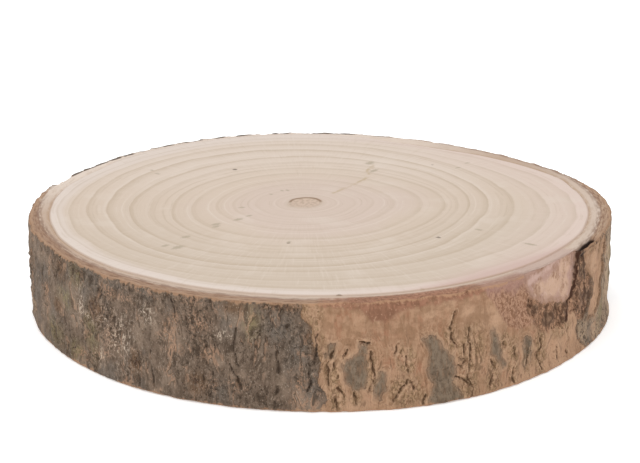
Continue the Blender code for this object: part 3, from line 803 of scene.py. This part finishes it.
def add_wood():
    """The wood, as a closed disc of rings round its pith."""
    angle = np.arange(WOOD_COLUMNS) * 360 / WOOD_COLUMNS
    turn = np.radians(angle)
    pith = np.array(PITH_AT)
    round_trunk = np.stack((np.cos(turn), np.sin(turn)), axis=-1)
    edge = bark_lines(angle)[1][:, None] * round_trunk - pith
    outline = outline_radius(angle)[:, None] * round_trunk - pith

    def reach_at(bearing):
        outline_bearing = np.degrees(np.arctan2(outline[:, 1], outline[:, 0]))
        return np.interp(bearing, outline_bearing, np.linalg.norm(outline, axis=1), period=360)

    def face(rings):
        shares = np.linspace(0, 1, rings + 1)[1:, None]
        inset = 1 - WOOD_EDGE / np.linalg.norm(edge, axis=1)
        flat = shares[..., None] * (inset[:, None] * edge)
        away = np.linalg.norm(flat, axis=-1) / PITH_RADIUS
        return flat, PITH_DENT * np.sqrt(np.clip(1 - away ** 2, 0, 1))

    top, top_dent = face(TOP_RINGS)
    base, base_dent = face(BASE_RINGS)
    groove = np.full(WOOD_COLUMNS, GROOVE_DEPTH)
    wider = edge * (1 + WOOD_EDGE / np.linalg.norm(edge, axis=1))[:, None]
    flat = np.concatenate((top, edge[None], wider[None], wider[None], edge[None], base[::-1]))
    upper = np.stack((groove, groove + WOOD_SHOULDER))
    depth = np.concatenate((top_dent, upper, THICKNESS - upper[::-1], THICKNESS - base_dent[::-1]))
    places = np.stack((flat[..., 0] + pith[0], flat[..., 1] + pith[1], THICKNESS - depth), axis=-1)
    wood = closed_grid("wood", places, closed_rows=False)

    x, y = flat[..., 0], flat[..., 1]
    at = np.degrees(np.arctan2(y, x)) % 360
    share = np.hypot(x, y) / reach_at(at)
    number = ring_numbers(at, share)
    hair_at, hair_share = np.array(HAIRLINE).T
    hair = np.radians(at - np.interp(share, hair_share, hair_at)) * np.hypot(x, y)
    past_ends = np.maximum(np.maximum(hair_share[0] - share, share - hair_share[-1]), 0)
    top_only = np.where(depth < THICKNESS / 2, 0, OUT_OF_REACH)
    dots = [(bearing, out, size, size) for bearing, out, size in DOTS]
    from_edge = np.linalg.norm(edge, axis=1) - np.hypot(x, y)
    stain = bump(angle, STAIN_ANGLE, STAIN_SPREAD) * np.exp(-from_edge / STAIN_REACH)
    add_values(wood, {
        "ring": number,
        "darkness": np.interp(number, np.arange(1, len(RING_DARKNESS) + 1), RING_DARKNESS),
        "share": share,
        "bearing_x": np.cos(np.radians(at)),
        "bearing_y": np.sin(np.radians(at)),
        "from_edge": from_edge / MM,
        "stain": stain,
        "fleck": fleck_distance(x, y, reach_at, FLECKS) + top_only,
        "dot": fleck_distance(x, y, reach_at, dots) + top_only,
        "hair": hair / MM,
        "hair_end": past_ends * MEAN_RADIUS / MM + top_only,
    })
    return wood


# Materials

def linear(colour, light):
    """A colour as it looks, 0 to 255, as the surface colour that gives it in this light."""
    shares = [part / 255 for part in colour]
    plain = [part / 12.92 if part <= 0.04045 else ((part + 0.055) / 1.055) ** 2.4 for part in shares]
    return (*(min(part / light, 1) for part in plain), 1)


class Finish:
    """A material whose nodes are added and linked by short calls, each of which gives its output."""

    def __init__(self, name, light):
        self.material = bpy.data.materials.new(name)
        self.material.use_nodes = True
        self.tree = self.material.node_tree
        self.shader = self.tree.nodes["Principled BSDF"]
        self.light = light
        self.place = self.add("ShaderNodeTexCoord").outputs["Object"]

    def add(self, kind, **settings):
        node = self.tree.nodes.new(kind)
        for name, value in settings.items():
            setattr(node, name, value)
        return node

    def feed(self, socket, value):
        if isinstance(value, bpy.types.NodeSocket):
            self.tree.links.new(value, socket)
        elif isinstance(value, tuple) and len(value) == 3 and socket.type == "RGBA":
            socket.default_value = linear(value, self.light)
        else:
            socket.default_value = value

    def value(self, name):
        return self.add("ShaderNodeAttribute", attribute_name=name).outputs["Fac"]

    def values(self, *names):
        return [self.value(name) for name in names]

    def vector(self, *parts):
        node = self.add("ShaderNodeCombineXYZ")
        for socket, part in zip(node.inputs, parts):
            self.feed(socket, part)
        return node.outputs[0]

    def math(self, operation, *values):
        node = self.add("ShaderNodeMath", operation=operation)
        for socket, value in zip(node.inputs, values):
            self.feed(socket, value)
        return node.outputs[0]

    def stretched(self, across, down, layer=0):
        """The object's places, for a pattern of this spacing across and this length up and down."""
        node = self.add("ShaderNodeMapping")
        node.inputs["Scale"].default_value = (1 / across, 1 / across, 1 / down)
        node.inputs["Location"].default_value = [layer * shift for shift in LAYER_SHIFT]
        self.feed(node.inputs["Vector"], self.place)
        return node.outputs["Vector"]

    def noise(self, across, down=None, layer=0, detail=2.0, rough=0.5, bend=0.0, place=None):
        """Noise from 0 to 1, about 0.5 in the middle."""
        node = self.add("ShaderNodeTexNoise")
        for name, value in {"Scale": 1, "Detail": detail, "Roughness": rough, "Distortion": bend}.items():
            node.inputs[name].default_value = value
        self.feed(node.inputs["Vector"], place or self.stretched(across, down or across, layer))
        return node.outputs[0]

    def cells(self, across, down, layer, bend):
        """How far each place lies from the edge of its cell, in a pattern of uneven cells."""
        crooked = self.add("ShaderNodeTexNoise")
        crooked.inputs["Scale"].default_value = CELL_WOBBLE
        place = self.stretched(across, down, layer)
        self.feed(crooked.inputs["Vector"], place)
        moved = self.add("ShaderNodeVectorMath", operation="MULTIPLY_ADD")
        self.feed(moved.inputs[0], crooked.outputs["Color"])
        moved.inputs[1].default_value = (bend, bend, bend)
        self.feed(moved.inputs[2], place)
        node = self.add("ShaderNodeTexVoronoi", feature="DISTANCE_TO_EDGE")
        node.inputs["Scale"].default_value = 1
        self.feed(node.inputs["Vector"], moved.outputs[0])
        return node.outputs["Distance"]

    def veins(self, across, down, layer, width, bend):
        """Thin crooked lines, 1 on the line."""
        away = self.math("ABSOLUTE", self.math("SUBTRACT", self.noise(across, down, layer, bend=bend), 0.5))
        return self.step(away, width, width / 3)

    def step(self, value, start, end):
        """0 up to start and 1 from end, smoothly between, whichever is the greater."""
        node = self.add("ShaderNodeMapRange", interpolation_type="SMOOTHSTEP")
        self.feed(node.inputs["Value"], value)
        self.feed(node.inputs["From Min"], start)
        self.feed(node.inputs["From Max"], end)
        return node.outputs["Result"]

    def wavering(self, distance, pattern, reach):
        """A distance whose zero wavers by the reach, along a pattern."""
        return self.math("MULTIPLY_ADD", self.math("SUBTRACT", pattern, 0.5), reach, distance)

    def mix(self, share, under, over):
        node = self.add("ShaderNodeMix", data_type="RGBA")
        self.feed(node.inputs[0], share)
        self.feed(node.inputs[6], under)
        self.feed(node.inputs[7], over)
        return node.outputs[2]

    def all(self, *places):
        """Shares multiplied together. A place is a share, or a value with the start and end of its step."""
        shares = [self.step(*place) if isinstance(place, tuple) else place for place in places]
        made = shares[0]
        for share in shares[1:]:
            made = self.math("MULTIPLY", made, share)
        return made

    def paint(self, colour, *layers):
        """Lays each layer over the colour in turn: its own colour, then its places as in all."""
        for over, *places in layers:
            colour = self.mix(self.all(*places), colour, over)
        return colour

    def raised(self, height, distance):
        """A bump of this height map."""
        node = self.add("ShaderNodeBump")
        node.inputs["Distance"].default_value = distance
        self.feed(node.inputs["Height"], height)
        return node.outputs["Normal"]

    def finish(self, colour, roughness, normal, gloss):
        self.feed(self.shader.inputs["Base Color"], colour)
        self.feed(self.shader.inputs["Normal"], normal)
        self.shader.inputs["Roughness"].default_value = roughness
        self.shader.inputs["Specular IOR Level"].default_value = gloss
        return self.material


# In the functions below f is the finish that is being made, and p holds the patterns that its parts share

def bark_patterns(f):
    """The patterns and marks that several parts of the bark share."""
    p = SimpleNamespace()
    p.dust = f.noise(0.55 * MM, 0.9 * MM, layer=9, detail=1)
    p.speck = f.noise(1.0 * MM, 1.7 * MM, layer=1)
    p.crumb = f.noise(1.25 * MM, 1.9 * MM, layer=13, rough=0.6, bend=0.7)
    p.mottle = f.noise(2.2 * MM, 5 * MM, layer=2, detail=3, rough=0.6)
    p.blotch = f.noise(8 * MM, 15 * MM, layer=3, detail=3, rough=0.6)
    p.smudge = f.noise(9 * MM, 7 * MM, layer=6, detail=3, rough=0.6)
    p.flakes = f.cells(2.0 * MM, 3.6 * MM, layer=8, bend=0.9)
    p.depth, p.relief, p.rough, p.brown = f.values("depth", "relief", "rough", "brown")
    p.skin_edge = f.wavering(f.wavering(f.value("skin"), p.mottle, 3), p.crumb, 4)
    p.remnant = f.wavering(f.value("remnant"), p.mottle, 4)
    p.covered = f.math("MAXIMUM", p.skin_edge, p.remnant)
    p.fissure = f.wavering(f.value("fissure"), p.speck, 1.2)
    p.bay_share = f.step(f.wavering(f.value("bay"), p.blotch, 4), -0.8, 1.4)
    p.notch_share = f.step(f.wavering(f.wavering(f.value("notch"), p.smudge, 8), p.crumb, 2), -2.2, 3.2)
    return p


def grey_skin(f, p):
    """Weathered flakes with tints, crumbs, dark gaps and seams; painted shade in hollows, painted highlights
    on crumbs.
    """
    drift = f.noise(30 * MM, 34 * MM, layer=4)
    rare = f.noise(3.4 * MM, 5 * MM, layer=14)
    seam = f.math("SUBTRACT", f.noise(9 * MM, 30 * MM, layer=17, detail=3, rough=0.6, bend=0.6), 0.5)
    return f.paint(
        SKIN_DARK,
        (SKIN_BROWN, (p.mottle, 0.34, 0.62)),
        (SKIN_LIGHT, (p.blotch, 0.5, 0.68), 0.75),
        (SKIN_SLATE, (drift, 0.48, 0.6), (p.blotch, 0.6, 0.42), 0.6),
        (SKIN_SLATE, f.value("slate"), 0.75),
        (SKIN_SANDY, (f.value("sandy"), 0.0, 0.8), (p.mottle, 0.25, 0.5), 0.9),
        (SKIN_OLIVE, f.value("olive"), (p.mottle, 0.34, 0.52), 0.9),
        (SKIN_LIGHT, (p.rough, 0.35, 0.0), (p.blotch, 0.4, 0.6), 0.6),
        (SKIN_RUSSET, (p.brown, 0.0, 0.8), (p.mottle, 0.3, 0.5), 0.85),
        # Painted highlight: paler on the crumbs' raised tops, more so where the skin is rough, as in the bump
        (SKIN_LIGHT, (p.crumb, 0.53, 0.64), (p.rough, 0.15, 0.8), 0.7),
        (SKIN_ORANGE, f.value("orange"), (p.crumb, 0.46, 0.58), 0.75),
        (SKIN_PALE, f.value("pale"), (p.crumb, 0.52, 0.62), 0.9),
        (SKIN_ORANGE, (rare, 0.62, 0.7), (p.crumb, 0.5, 0.6), 0.45),
        (SKIN_PIT_AND_SHADE, (f.wavering(p.flakes, p.dust, 0.12), 0.10, 0.02), (p.mottle, 0.6, 0.42), 0.35),
        # Painted shade: darker where the fine relief is low
        (SKIN_PIT_AND_SHADE, (p.relief, -0.2, -0.9), 0.55),
        # Painted shade: darker in the crumbs' hollows, more so where the skin is rough, as in the bump
        (SKIN_PIT_AND_SHADE, (p.crumb, 0.43, 0.35), (p.rough, -0.1, 0.8), 0.75),
        (SKIN_ORANGE, (seam, 0.0, 0.015), (seam, 0.07, 0.03), (p.blotch, 0.48, 0.62), 0.45),
        (SKIN_PIT_AND_SHADE, (f.math("ABSOLUTE", seam), 0.02, 0.008), (p.blotch, 0.4, 0.54), 0.6),
        (TORN_DARK, (p.brown, 0.5, 1.0), (p.mottle, 0.56, 0.4), 0.6),
        (SKIN_PIT_AND_SHADE, (p.dust, 0.4, 0.25), 0.35),
        (SKIN_PALE, (p.dust, 0.62, 0.75), 0.35),
    )


def thin_skin(f, p):
    """What is left of the grey skin in the bare stretch."""
    return f.paint(
        REMNANT_DARK,
        (REMNANT_GREY, (p.mottle, 0.4, 0.6)),
        (TAN_DARK, (f.noise(1.2 * MM, 7 * MM, layer=16), 0.52, 0.7), 0.4),
        (SKIN_PIT_AND_SHADE, (p.crumb, 0.45, 0.36), 0.5),
    )


def bare_bark(f, p):
    """Soft flow, stains, crumbly places, and faint lines that follow the patches of skin and the fissures."""
    flow = f.noise(4 * MM, 20 * MM, layer=5, bend=1.5)
    skin_borders = f.math("MINIMUM", f.math("ABSOLUTE", p.skin_edge), f.math("ABSOLUTE", p.remnant))
    around = f.math("MINIMUM", p.fissure, skin_borders)
    contour = f.math("SINE", f.math("MULTIPLY", f.wavering(around, p.blotch, 3), 3.4))
    low, high = f.step(p.depth, 8, 24), f.step(p.depth, 30, 16)
    rubble = f.step(f.wavering(f.value("rubble"), p.mottle, 0.5), 0.1, 0.6)
    crumbled = f.math("MAXIMUM", f.all(low, (f.noise(7 * MM, 12 * MM, layer=15), 0.5, 0.64), 0.6), rubble)
    wide_veins, thin_veins = (f.veins(6 * MM, 17 * MM, 12, width, bend=0.8) for width in (0.11, 0.03))
    smear = f.noise(5 * MM, 4 * MM, layer=18, detail=3, rough=0.6)
    return f.paint(
        TAN_DARK,
        (TAN, (flow, 0.25, 0.58)),
        (TAN_LIGHT, (flow, 0.56, 0.75), 0.6),
        (TAN_RED, (p.blotch, 0.52, 0.66), 0.7),
        (TAN_RED, f.value("stained"), (p.mottle, 0.35, 0.6), 0.8),
        (TAN_DARK, (p.mottle, 0.5, 0.34), 0.6),
        (TAN_LIGHT, (contour, 0.2, 1), (around, 7, 1), 0.45),
        (TAN_DARK, (contour, -0.4, -1), (around, 5, 1), 0.35),
        (TAN_LIGHT, f.value("light"), 0.75),
        (FRINGE, rubble, (p.mottle, 0.66, 0.46), 0.85),
        (LIP, rubble, (p.flakes, 0.2, 0.4), 0.45),
        (FISSURE, rubble, (f.wavering(p.flakes, p.mottle, 0.25), 0.12, 0.02), 0.6),
        (TAN_LIGHT, (p.crumb, 0.54, 0.64), crumbled, 0.7),
        (TAN_DARK, (p.crumb, 0.45, 0.37), crumbled, 0.6),
        (FISSURE, (p.crumb, 0.4, 0.33), crumbled, 0.7),
        (TAN_DARK, (p.speck, 0.6, 0.72), (p.mottle, 0.45, 0.6), 0.6),
        (TAN_LIGHT, (p.dust, 0.6, 0.78), 0.3),
        (TAN_DARK, (p.dust, 0.42, 0.26), (p.mottle, 0.6, 0.4), 0.5),
        (TAN_LIGHT, wide_veins, (p.blotch, 0.42, 0.55), 0.4),
        (FISSURE, thin_veins, (p.mottle, 0.42, 0.55), low, 0.5),
        (TAN_DARK, (smear, 0.42, 0.62), high, 0.55),
        (LIP, (p.covered, -2.6, -1.4), (p.covered, 0.0, -0.9), (p.blotch, 0.42, 0.62), 0.45),
        (thin_skin(f, p), (p.remnant, -1.9, 2.2), 0.92),
    )


def chipped_bark(f, p):
    return f.paint(
        CHIP_BROWN,
        (CHIP_RED, (p.mottle, 0.36, 0.6)),
        (CHIP_BROWN, (p.depth, 3, 5), 0.7),
        (CHIP_SPECK, (p.speck, 0.58, 0.7), 0.6),
    )


def bay_bark(f, p):
    return f.paint(
        BAY_BROWN,
        (BAY_PINK, (p.crumb, 0.4, 0.56)),
        (BAY_BROWN, (p.flakes, 0.08, 0.02), 0.5),
        (BAY_PURPLE, (f.wavering(p.depth, p.blotch, 14), 9, 3), 0.75),
    )


def notch_wood(f, p):
    return f.paint(
        NOTCH_LILAC,
        (NOTCH_CREAM, (f.wavering(f.value("cream"), p.smudge, 0.8), 0.25, 0.75)),
        (NOTCH_BROWN, (p.smudge, 0.45, 0.62), (p.mottle, 0.35, 0.6), 0.75),
        (TORN_BROWN, (p.crumb, 0.46, 0.37), (p.smudge, 0.44, 0.56), 0.7),
        (BAND_PALE, (p.speck, 0.55, 0.7), 0.35),
        (BAND_PALE, (f.wavering(f.value("band"), p.smudge, 4), 2.4, 0.2), 0.5),
    )


def torn_bark(f, p):
    return f.paint(
        TORN_BROWN,
        (TORN_LIGHT, (p.mottle, 0.36, 0.6)),
        (TORN_DARK, (p.crumb, 0.45, 0.36), 0.8),
        # Painted shade: darker where the fine relief is low
        (TORN_DARK, (p.relief, 0.0, -0.8), 0.8),
        (TORN_DARK, (p.flakes, 0.1, 0.03), 0.6),
        (SKIN_DARK, (p.brown, 0.1, 0.7), (p.smudge, 0.42, 0.6), 0.6),
        (TORN_DARK, (p.brown, 0.1, 0.7), (p.mottle, 0.62, 0.44), 0.75),
    )


def side_colour(f, p, chipped, bay):
    """The bark's side: skin over bare bark, then fissures, cracks, broken places and the saw cuts' edges."""
    plate = f.wavering(f.value("plate"), p.blotch, 4)
    crack = f.wavering(f.value("crack"), p.speck, 1.6)
    in_chip = f.wavering(f.value("chipped"), p.mottle, 5)
    torn, in_notch = f.wavering(f.value("torn"), p.mottle, 5), f.wavering(f.value("notch"), p.mottle, 2)
    split = f.wavering(f.value("break"), p.mottle, 2.6)
    near_cut = f.math("MINIMUM", p.depth, f.math("SUBTRACT", THICKNESS / MM, p.depth))
    frayed = f.wavering(f.wavering(near_cut, p.mottle, -4), p.blotch, -5)
    return f.paint(
        bare_bark(f, p),
        (grey_skin(f, p), (p.skin_edge, -0.5, 0.5)),
        (TAN_DARK, (plate, -2.6, 0.0), (plate, 3.2, 0.4), (p.mottle, 0.36, 0.54), 0.75),
        (LIP, (p.fissure, 2.2, 1.3), (p.fissure, 0.5, 1.0), (p.mottle, 0.44, 0.6), 0.7),
        (TAN_DARK, (p.fissure, 3.0, 1.0), (p.crumb, 0.44, 0.36), 0.7),
        (FISSURE, (p.fissure, 0.75, 0.25), 0.9),
        (SKIN_CRACK, (crack, 0.7, 0.2), 0.8),
        (chipped, (in_chip, -1.0, 1.4), (p.blotch, 0.1, 0.5), 0.9),
        (bay, p.bay_share, 0.85),
        (notch_wood(f, p), p.notch_share),
        (torn_bark(f, p), (torn, -0.8, 1.0), (in_notch, 1.2, -0.2), 0.92),
        (BREAK_DARK, (split, 1.2, 0.4), 0.95),
        (CUT_EDGE, (frayed, 1.6, 0.6), (p.notch_share, 0.6, 0.2), (f.value("break"), 3, 5), 0.7),
    )


def sawn_colour(f, p, chipped, bay):
    """The bark on the sawn faces, in layers that run round the trunk."""
    layers = f.noise(1, detail=3, rough=0.6, place=f.vector(*f.values("layers_x", "layers_y", "outer")))
    outer, inner = f.wavering(f.value("outer"), p.blotch, 1.6), f.wavering(f.value("inner"), p.blotch, 0.8)
    inward = f.wavering(f.wavering(f.value("inward"), p.blotch, 3), p.crumb, 1.5)
    in_chip = f.wavering(f.value("chipped"), p.blotch, 3)
    pale = f.value("paleness")
    outer_cut = f.paint(
        OUTER_CUT_DARK,
        (f.paint(OUTER_CUT_BROWN, (OUTER_CUT, (pale, 0.2, 0.7))), (layers, 0.34, 0.56)),
        (OUTER_CUT_PALE, (layers, 0.55, 0.7), f.math("MULTIPLY_ADD", pale, 0.6, 0.15)),
        (OUTER_CUT_PALE, (pale, 0.7, 1.0), 0.85),
        (OUTER_CUT_DARK, (p.dust, 0.42, 0.28), 0.25),
        (OUTER_RIM, (inward, 2.0, 0.8), (pale, 1.0, 0.6), 0.75),
    )
    return f.paint(
        INNER_CUT,
        (INNER_CUT_PALE, pale),
        (CAMBIUM, (layers, 0.5, 0.34), 0.3),
        (outer_cut, (outer, -0.5, 0.4)),
        (SKIN_DARK, (outer, -1.6, -0.6), (p.blotch, 0.42, 0.5), (pale, 0.85, 1.0), 0.9),
        (RIM_LINE, (outer, -2.6, -0.8), (outer, 1.3, 0.3), (layers, 0.66, 0.44), (pale, 0.8, 0.45), 0.75),
        (CAMBIUM, (inner, 2.2, 0.6), (layers, 0.7, 0.45), (pale, 1.2, 0.2), 0.9),
        (chipped, (in_chip, 0.3, 3.2), (inner, 2, 4.5), 0.9),
        (bay, p.bay_share, (inner, 1.5, 5), 0.6),
        (BAND_PALE, p.notch_share, 0.6),
        # Painted shade: near black where the gap on the sawn face is deep
        (GAP_PAINTED_SHADE, (f.value("gap"), 0.8, 2)),
    )


def bark_material():
    f = Finish("bark", SIDE_LIGHT)
    p = bark_patterns(f)
    chipped, bay = chipped_bark(f, p), bay_bark(f, p)
    side = side_colour(f, p, chipped, bay)
    f.light = TOP_LIGHT
    on_face = f.value("on_face")
    colour = f.paint(side, (sawn_colour(f, p, chipped, bay), (on_face, 0.3, 0.7)))

    on_skin = f.all((p.covered, -0.4, 0.3), (on_face, 0.6, 0.2))
    fine = f.math("MULTIPLY_ADD", p.mottle, 0.4, f.math("MULTIPLY", p.dust, 0.3))
    coarse = f.math("MULTIPLY", p.crumb, f.math("MULTIPLY_ADD", p.rough, 0.9, 0.25))
    heights = f.math("MULTIPLY", f.math("ADD", fine, coarse), f.math("MULTIPLY_ADD", on_skin, 0.6, 0.4))
    return f.finish(colour, BARK_ROUGHNESS, f.raised(heights, BARK_BUMP), BARK_GLOSS)


def wood_material():
    f = Finish("wood", TOP_LIGHT)
    ring, darkness, share, east, north = f.values("ring", "darkness", "share", "bearing_x", "bearing_y")
    cloud = f.noise(26 * MM, layer=1, detail=3)
    grain = f.noise(0.8 * MM, 5 * MM, layer=2)
    drift = f.noise(55 * MM, layer=6)
    ray_place = [f.math("MULTIPLY", *pair) for pair in zip((east, north, share), RAY_STRETCH)]
    rays = f.noise(1, rough=0.6, place=f.vector(*ray_place))
    ray_strength = f.math("MULTIPLY_ADD", f.math("ABSOLUTE", north), 0.7, 0.3)

    # Late wood darkens towards the end of each ring and stops there, with finer lines between
    wobbled = f.wavering(ring, cloud, 0.3)
    part = f.math("FRACT", wobbled)
    late = f.all((part, 0.72, 0.95), (part, 1.0, 0.95), darkness)
    late_zone = f.all((part, 0.3, 0.95), (part, 1.0, 0.95), darkness)
    early = f.all((part, 0.0, 0.04), (part, 0.3, 0.08), darkness)
    late_strength = f.math("MULTIPLY_ADD", f.step(f.noise(24 * MM, layer=7), 0.3, 0.6), 0.4, 0.3)
    line_place = f.vector(f.math("MULTIPLY", wobbled, 6), f.math("MULTIPLY", cloud, 1.5))
    lines = f.noise(1, detail=4, rough=0.65, place=line_place)

    sap = f.paint(WOOD_SAP, (SAP_PINK, (east, -0.2, 0.8)))
    pith = f.paint(WOOD_PITH, (PITH_LINE, (f.noise(1.6 * MM, layer=5), 0.55, 0.4), 0.6))
    hair = f.math("ABSOLUTE", f.wavering(f.value("hair"), f.noise(3.5 * MM, layer=3), 4))
    hair_fading = f.noise(6 * MM, layer=4)
    stain = f.wavering(f.math("MULTIPLY", f.value("stain"), 1.4), lines, 0.8)
    colour = f.paint(
        WOOD,
        (WOOD_PINK, (f.wavering(share, drift, 0.5), 0.45, 0.2)),
        (WOOD_BACK, (north, 0.0, 0.8), (share, 0.3, 0.6)),
        (WOOD_GREY, (north, 0.25, -0.85), (share, 0.25, 0.7), 0.95),
        (sap, (f.wavering(share, cloud, 0.03), 0.855, 0.892)),
        (SAP_PINK, (east, 0.35, 0.9), (share, 0.68, 0.84), 0.6),
        (WOOD_LATE, (lines, 0.47, 0.3), 0.5),
        (WOOD_LIGHT, (lines, 0.54, 0.7), 0.5),
        (WOOD_LIGHT, (cloud, 0.55, 0.7), 0.3),
        (WOOD_LATE, late_zone, 0.25),
        (WOOD_LATE, late, late_strength),
        (WOOD_LIGHT, early, 0.18),
        (WOOD_LATE, (rays, 0.56, 0.74), ray_strength, 0.24),
        (WOOD_LIGHT, (rays, 0.46, 0.3), ray_strength, 0.28),
        (WOOD_LATE, (grain, 0.58, 0.78), 0.14),
        (pith, (f.wavering(ring, grain, 0.3), 1.0, 0.85), 0.6),
        (WOOD_LATE, (ring, 1.5, 1.05), (ring, 0.9, 1.0), 0.35),
        # Painted shade: a dark line on the pith dent's back rim only
        (PITH_LINE, (ring, 0.86, 0.95), (ring, 1.14, 1.0), (north, -0.1, 0.4), 0.95),
        (FLECK, (f.wavering(f.value("fleck"), grain, 1.4), 1.3, 0.5), 0.85),
        (DOT, (f.wavering(f.value("dot"), grain, 0.8), 1.1, 0.5), 0.85),
        (HAIR, (hair, 1.8, 0.3), (f.value("hair_end"), 1.5, 0), (hair_fading, 0.35, 0.6), 0.75),
        (WOOD_STAIN, (stain, 0.1, 0.9), 0.9),
        (CAMBIUM, (f.value("from_edge"), 1.0, 0.3), 0.5),
    )
    heights = f.math("MULTIPLY_ADD", late, -0.5, f.math("MULTIPLY", grain, 0.3))
    return f.finish(colour, WOOD_ROUGHNESS, f.raised(heights, WOOD_BUMP), WOOD_GLOSS)


# The studio

def middle_of(pieces):
    """The middle of the pieces' box, on the surface that they lie on."""
    corners = np.array([corner for piece in pieces for corner in piece.bound_box])
    low, high = corners.min(axis=0), corners.max(axis=0)
    return Vector(((low[0] + high[0]) / 2, (low[1] + high[1]) / 2, 0))


def add_camera(shift):
    forward = Vector((0, math.cos(CAMERA_PITCH), -math.sin(CAMERA_PITCH)))
    up = Vector((0, math.sin(CAMERA_PITCH), math.cos(CAMERA_PITCH)))
    right = Vector((1, 0, 0))
    place = right * CAMERA_RIGHT + up * CAMERA_UP - forward * CAMERA_DISTANCE
    place += Vector((0, 0, THICKNESS / 2)) + shift
    turned_right = right * math.cos(CAMERA_ROLL) - up * math.sin(CAMERA_ROLL)
    turned_up = up * math.cos(CAMERA_ROLL) + right * math.sin(CAMERA_ROLL)
    data = bpy.data.cameras.new("camera")
    data.sensor_width = SENSOR_WIDTH
    data.lens = SENSOR_WIDTH * FOCAL_PIXELS / PHOTO_WIDTH
    camera = bpy.data.objects.new("camera", data)
    bpy.context.scene.collection.objects.link(camera)
    axes = Matrix((turned_right, turned_up, -forward)).transposed()
    camera.matrix_world = Matrix.Translation(place) @ axes.to_4x4()
    bpy.context.scene.camera = camera


def add_studio():
    data = bpy.data.meshes.new("floor")
    half = FLOOR_SIZE / 2
    corners = [(-half, -half, 0), (half, -half, 0), (half, half, 0), (-half, half, 0)]
    data.from_pydata(corners, [], [(0, 1, 2, 3)])
    floor = bpy.data.objects.new("floor", data)
    bpy.context.scene.collection.objects.link(floor)
    plain = bpy.data.materials.new("floor")
    plain.use_nodes = True
    settings = {
        "Base Color": FLOOR_COLOUR, "Roughness": 1, "Specular IOR Level": 0,
        "Emission Color": FLOOR_COLOUR, "Emission Strength": FLOOR_GLOW,
    }
    for name, value in settings.items():
        plain.node_tree.nodes["Principled BSDF"].inputs[name].default_value = value
    data.materials.append(plain)

    world = bpy.data.worlds.new("studio")
    world.use_nodes = True
    world.node_tree.nodes["Background"].inputs["Color"].default_value = (1, 1, 1, 1)
    world.node_tree.nodes["Background"].inputs["Strength"].default_value = SKY_STRENGTH
    bpy.context.scene.world = world
    key = bpy.data.objects.new("key", bpy.data.lights.new("key", "AREA"))
    key.data.size = KEY_SIZE
    key.data.energy = KEY_POWER
    key.location = KEY_PLACE
    key.rotation_euler = (-Vector(KEY_PLACE)).to_track_quat("-Z", "Y").to_euler()
    bpy.context.scene.collection.objects.link(key)
    bpy.context.scene.view_settings.view_transform = "Standard"


def main():
    bark, wood = add_bark(), add_wood()
    shift = -middle_of((bark, wood))
    for piece, material in ((bark, bark_material()), (wood, wood_material())):
        piece.data.transform(Matrix.Translation(shift))
        piece.data.materials.append(material)
        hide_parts("wood_slice")
        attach(piece, "root")
    add_camera(shift)
    add_studio()


main()
